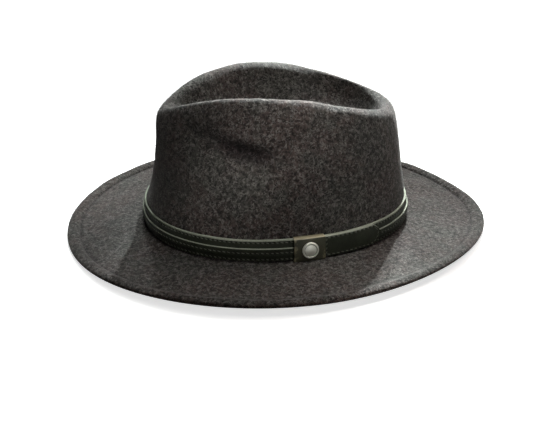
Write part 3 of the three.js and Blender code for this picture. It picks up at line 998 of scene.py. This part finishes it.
def studProfile():
    post = keeper["outer"] + band["gap"] - keeper["inner"]
    radius, bevel, curve = stud["radius"], stud["postBevel"], stud["rimRound"]
    profile = [(0.0, -post), (stud["postRadius"] - bevel, -post),
               (stud["postRadius"], -post + bevel), (stud["postRadius"], 0.0)]
    profile += [(radius - inwards, height) for inwards, height in stud["backBevel"]]
    flat, top = stud["rimFlat"], stud["rimHeight"]
    profile += quarterArc(radius - curve, top - curve, curve, 0, stud["rimSteps"], 1)
    dish, floor = stud["dishRadius"], stud["dishHeight"]
    (rimIn, rimDown), (dishIn, dishUp) = stud["rimSlope"], stud["dishSlope"]
    profile += [(flat, top), (flat - rimIn, top - rimDown), (dish, floor + dishUp),
                (dish - dishIn, floor)]
    domeIn, domeEnd = stud["domeFromTo"]
    for place in np.linspace(dish - domeIn, domeEnd, stud["domeSteps"]):
        rise = math.cos(place / dish * math.pi / 2) ** stud["domePower"]
        profile.append((place, floor + (stud["domeHeight"] - floor) * rise))
    profile.append((0.0, stud["domeHeight"]))
    return np.array(profile)


def studFrame(offset):
    turn = leftTurn(stud["place"])
    point = wallPoints(turn, strapMiddle, offset)
    up = unit(wallPoints(turn, strap["top"], offset) - wallPoints(turn, strap["bottom"], offset))
    along = unit(wallPoints(turn + turnNudge, strapMiddle, offset)
                 - wallPoints(turn - turnNudge, strapMiddle, offset))
    return point, along, up, unit(np.cross(along, up))


# A round hole through the keeper for the stud's post
def cutStudHole(piece):
    point, _, _, away = studFrame(keeper["outer"])
    radius = keeper["holeRadius"] * mm
    shape = bmesh.new()
    bmesh.ops.create_cone(shape, cap_ends=True, segments=keeper["holeSides"], radius1=radius,
                          radius2=radius, depth=keeper["holeReach"] * mm)
    mesh = bpy.data.meshes.new("studHole")
    shape.to_mesh(mesh)
    shape.free()
    drill = addObject("studHole", mesh)
    drill.rotation_euler = Vector(away).to_track_quat("Z", "Y").to_euler()
    drill.location = Vector(point + crownShift) * mm
    cut = piece.modifiers.new("studHole", "BOOLEAN")
    cut.object = drill
    cut.operation = "DIFFERENCE"
    cut.solver = "EXACT"
    bpy.context.view_layer.update()
    seen = piece.evaluated_get(bpy.context.evaluated_depsgraph_get())
    drilled = bpy.data.meshes.new_from_object(seen)
    piece.modifiers.remove(cut)
    piece.data = drilled
    drilled.name = piece.name
    bpy.data.objects.remove(drill)


def makeStud():
    point, along, up, away = studFrame(keeper["outer"] + band["gap"])
    profile = studProfile()
    angles = np.arange(stud["sides"]) * fullTurn / stud["sides"]
    inner = profile[1:-1]
    spokes = np.cos(angles)[:, None] * along + np.sin(angles)[:, None] * up
    rows = point + inner[:, None, :1] * spokes[None] + inner[:, None, 1:] * away
    ends = [point + profile[0, 1] * away, point + profile[-1, 1] * away]
    points = np.vstack([rows.reshape(-1, 3), ends])
    size = rows.shape[:2]
    faces = gridFaces(*size).tolist() + fanFaces(*size)
    piece = makePiece("keeperStud", points, faces, [silver], "keeper_stud")
    reach, height = inner.T
    recess = (bell(reach - stud["dishRadius"], stud["recessWidth"])
              * (height > stud["recessFrom"]))
    below = (height < stud["belowTo"]) * stud["belowShare"]
    wearAndSheen = stud["bright"] - stud["darker"] * np.maximum(recess, below)
    paint(piece, "wearAndSheen", np.repeat(wearAndSheen, stud["sides"]), (stud["postEnd"], stud["bright"]))


makeKeeper()
makeStud()
print("keeper and stud shaped")


# Stitches: short waxed threads that rise out of one hole and sink into the next

stitchShare = np.linspace(0, 1, stitching["spans"] + 1)
stitchArch = np.abs(2 * stitchShare - 1) ** 3
stitchRise = stitching["lift"] - (stitching["lift"] + stitching["sink"]) * stitchArch


def makeStitches(name, paths):
    tubes = threadTubes(paths, stitching["threadRadius"], stitching["sides"])
    sewTubes(name, tubes, thread)


def stitchPaths(starts, rowHeight, face, stretch=1.0):
    margin = (stitching["pitch"] - stitching["length"]) / 2
    distances = (starts[:, None] + margin + stitchShare * stitching["length"]) / stretch
    heights = rowHeight - stitching["slant"] * (stitchShare - 0.5)
    return wallPoints(turnAt(distances), heights, face + stitchRise - stitching["channelDepth"])


def makeAllStitches():
    pitch = stitching["pitch"]
    starts = np.arange(wholeStitches) * pitch
    strapPaths = [stitchPaths(starts, row, strap["outer"], strapStretch) for row in strapRows]
    makeStitches("strapStitches", np.vstack(strapPaths))
    first = math.ceil(leftDistance(tab["tip"] + stitching["pastTab"]) / pitch) * pitch
    last = bandLength + leftDistance(keeper["front"])
    stripPaths = stitchPaths(np.arange(first, last, pitch), stripRow, strip["outer"])
    makeStitches("stripStitches", stripPaths)
    makeStitches("tabStitches", tabStitchPaths())


# The tab's stitches run along its top, round the point and back along its bottom
def tabStitchPaths():
    begin = tabStitchStart
    cornerY = tab["shoulder"] + stitching["tabPastShoulder"]
    full = tabFull - stitching["tabIn"]
    tipY = tab["tip"] - stitching["tabIn"]
    tipHalf = tab["tipHalf"] - stitching["tabTipIn"]
    outline = [(begin, full), (cornerY, full), (tipY, tipHalf), (tipY, -tipHalf),
               (cornerY, -full), (begin, -full), (begin, full)]
    margin = (1 - stitching["length"] / stitching["pitch"]) / 2
    paths = []
    for (startY, startZ), (endY, endZ) in zip(outline, outline[1:]):
        length = math.hypot(endY - startY, endZ - startZ)
        count = max(1, round(length / stitching["pitch"]))
        for k in range(count):
            along = (k + margin + stitchShare * (1 - 2 * margin)) / count
            across = stitching["slant"] * (0.5 - stitchShare) / length
            y = startY + (endY - startY) * along - (endZ - startZ) * across
            z = startZ + (endZ - startZ) * along + (endY - startY) * across
            turns = np.array([leftTurn(value) for value in y])
            paths.append(wallPoints(turns, tabMiddle + z,
                                    tab["outer"] + stitchRise - stitching["channelDepth"]))
    return np.array(paths)


makeAllStitches()
makeFibres(feltRows, feltRowOf)
print("stitches sewn and fibres set")


# Floor, light and world

lighting = {
    "floorSize": 16.0, "floor": shade(0.80, 0.80, 0.79),
    "floorClouds": shade(0.74, 0.74, 0.73), "cloudScale": 3.0, "cloudShare": 0.05,
    "floorBounce": shade(0.12, 0.12, 0.12),
    "floorGlow": 0.70,        # keeps the shadow on the floor faint to the camera alone
    "glowFromTo": (0.4, 2.0),            # metres from the hat over which the floor turns white
    "worldStrength": 0.0, "backdrop": 1.0,
}
# Each lamp: azimuth and elevation in degrees, distance and width in metres, watts and tint
lampColumns = ("azimuth", "elevation", "distance", "size", "power", "tint")
cool, warm, amber = (0.94, 1.0, 1.01), (1.0, 0.985, 0.96), (1.0, 0.92, 0.87)
softLamps = {
    "softBack": (170, 60, 2.2, 1.2, 18.0, cool),
    "softRight": (100, 50, 2.4, 1.2, 17.0, amber),
    "softTop": (0, 85, 2.2, 1.2, 7.5, warm),
}
# Narrow lamps also have the place that they point at, and the width of their beam in degrees
beams = {
    "keyRight": (158, 42, 1.5, 0.03, 118, cool, (0.08, 0.12, 0), 18),
    "keyLeft": (168, 42, 1.5, 0.06, 42, cool, (-0.02, -0.12, 0), 15),
    "crownFront": (155, 42, 1.5, 0.06, 380, cool, (0, -0.005, 0.106), 8),
    "crownBack": (160, 42, 1.5, 0.06, 440, cool, (0.01, 0.02, 0.108), 7),
    "brimFar": (150, 42, 1.5, 0.06, 124, cool, (-0.10, -0.085, 0.01), 9),
    "brimBack": (152, 50, 1.5, 0.2, 60, cool, (0.03, 0.15, 0.01), 9),
    "brimCorner": (158, 42, 1.5, 0.03, 96, cool, (0.10, 0.10, 0.01), 7),
    "wallLow": (6, 38, 1.5, 0.2, 58, warm, (0.072, -0.020, 0.080), 4.8),
    "wallHigh": (12, 24, 1.5, 0.2, 62, warm, (0.06, 0.002, 0.104), 4.0),
    "wallOver": (16, 72, 1.5, 0.2, 30, warm, (0.062, 0.004, 0.100), 7.0),
    "wallTop": (14, 60, 1.5, 0.03, 56, warm, (0.058, -0.002, 0.108), 3.8),
    "wallDent": (0, 58, 1.5, 0.03, 44, warm, (0.070, -0.052, 0.071), 3.2),
    "brimNear": (60, 70, 1.5, 0.05, 30, warm, (0.12, 0.030, 0.01), 5.0),
}


def makeFloor(setup):
    half = setup["floorSize"] / 2
    mesh = bpy.data.meshes.new("floor")
    mesh.from_pydata([(-half, -half, 0), (half, -half, 0), (half, half, 0), (-half, half, 0)],
                     [], [(0, 1, 2, 3)])
    floor = addObject("floor", mesh)
    material, tree, place = newMaterial("paleFloor")
    faint = remap(tree, noise(tree, place, setup["cloudScale"]), *noiseSpan,
                  0.0, setup["cloudShare"])
    colour = blendColour(tree, faint, setup["floor"], setup["floorClouds"])
    paths = tree.nodes.new("ShaderNodeLightPath").outputs
    colour = blendColour(tree, paths["Is Diffuse Ray"], colour, setup["floorBounce"])
    away = addNode(tree, "VectorMath", {0: place}, operation="LENGTH").outputs["Value"]
    glow = compute(tree, "MULTIPLY", paths["Is Camera Ray"],
                   remap(tree, away, *setup["glowFromTo"], setup["floorGlow"], 1.0))
    closeMaterial(tree, {"Base Color": colour, "Roughness": 0.9,
                         "Emission Color": shade(1, 1, 1), "Emission Strength": glow})
    mesh.materials.append(material)


def makeLamp(name, setup, aim=(0, 0, 0), cone=None):
    lamp = dict(zip(lampColumns, setup))
    if cone:
        data = bpy.data.lights.new(name, "SPOT")
        data.spot_size = math.radians(cone)
        data.spot_blend = 1.0
        data.shadow_soft_size = lamp["size"] / 2
    else:
        data = bpy.data.lights.new(name, "AREA")
        data.shape = "DISK"
        data.size = lamp["size"]
    data.energy = lamp["power"]
    data.color = lamp["tint"]
    placed = addObject(name, data)
    turn, rise = math.radians(lamp["azimuth"]), math.radians(lamp["elevation"])
    away = Vector((math.cos(turn) * math.cos(rise), math.sin(turn) * math.cos(rise),
                   math.sin(rise)))
    placed.location = away * lamp["distance"] + Vector(aim)
    placed.rotation_euler = away.to_track_quat("Z", "Y").to_euler()


def makeWorld(setup):
    world = bpy.data.worlds.new("studio")
    bpy.context.scene.world = world
    world.use_nodes = True
    tree = world.node_tree
    tree.nodes.clear()
    seen = tree.nodes.new("ShaderNodeLightPath").outputs["Is Camera Ray"]
    strength = remap(tree, seen, 0.0, 1.0, setup["worldStrength"], setup["backdrop"])
    glow = addNode(tree, "Background", {"Color": shade(1, 1, 1),
                                                  "Strength": strength})
    addNode(tree, "OutputWorld", {"Surface": glow.outputs[0]})


makeFloor(lighting)
for lampName, lampSetup in softLamps.items():
    makeLamp(lampName, lampSetup)
for lampName, (*lampSetup, lampAim, lampCone) in beams.items():
    makeLamp(lampName, lampSetup, lampAim, lampCone)
makeWorld(lighting)
bpy.context.scene.view_settings.view_transform = "Standard"
print("floor and lights placed")
